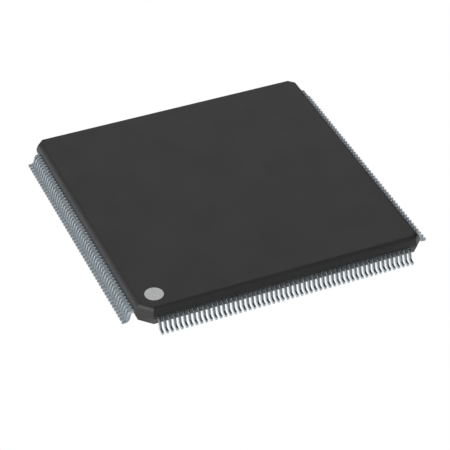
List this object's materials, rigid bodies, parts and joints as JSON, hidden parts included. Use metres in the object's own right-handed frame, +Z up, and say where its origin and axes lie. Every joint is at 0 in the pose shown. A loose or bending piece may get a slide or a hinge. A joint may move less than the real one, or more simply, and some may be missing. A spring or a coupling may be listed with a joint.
{
  "type": "microcontroller in a quad flat package",
  "caption": "Square black chip package with gull-wing leads on all four sides and a round dot at the first lead.",
  "frame": {"origin": "middle of the package on the seating plane, which is the plane of the undersides of the lead feet", "axes": "+Z up through the top face; lead 1 is at the -X end of the -Y row, and the leads are numbered anticlockwise seen from above"},
  "size_m": [0.026, 0.026, 0.0017],
  "materials": {
    "mould_compound": "fine matt moulding",
    "tin_plating": "matt tin on copper alloy",
    "copper_alloy": "satin, silver spot under the die",
    "die_glue": "silver-filled epoxy film",
    "silicon": "polished silicon",
    "marking_ink": "matt light grey ink"
  },
  "bodies": {
    "root": {"die_attach": "die_glue", "die_pad": "copper_alloy", "leads_001_to_006": "tin_plating", "leads_007_to_012": "tin_plating", "leads_013_to_018": "tin_plating", "leads_019_to_024": "tin_plating", "leads_025_to_030": "tin_plating", "leads_031_to_036": "tin_plating", "leads_037_to_042": "tin_plating", "leads_043_to_048": "tin_plating", "leads_049_to_054": "tin_plating", "leads_055_to_060": "tin_plating", "leads_061_to_066": "tin_plating", "leads_067_to_072": "tin_plating", "leads_073_to_078": "tin_plating", "leads_079_to_084": "tin_plating", "leads_085_to_090": "tin_plating", "leads_091_to_096": "tin_plating", "leads_097_to_102": "tin_plating", "leads_103_to_108": "tin_plating", "leads_109_to_114": "tin_plating", "leads_115_to_120": "tin_plating", "leads_121_to_126": "tin_plating", "leads_127_to_132": "tin_plating", "leads_133_to_138": "tin_plating", "leads_139_to_144": "tin_plating", "leads_145_to_150": "tin_plating", "leads_151_to_156": "tin_plating", "leads_157_to_162": "tin_plating", "leads_163_to_168": "tin_plating", "leads_169_to_174": "tin_plating", "leads_175_to_180": "tin_plating", "leads_181_to_186": "tin_plating", "leads_187_to_192": "tin_plating", "leads_193_to_198": "tin_plating", "leads_199_to_204": "tin_plating", "leads_205_to_210": "tin_plating", "leads_211_to_216": "tin_plating", "mould_body": "mould_compound", "pin1_dot": "marking_ink", "silicon_die": "silicon"}
  },
  "joints": []
}
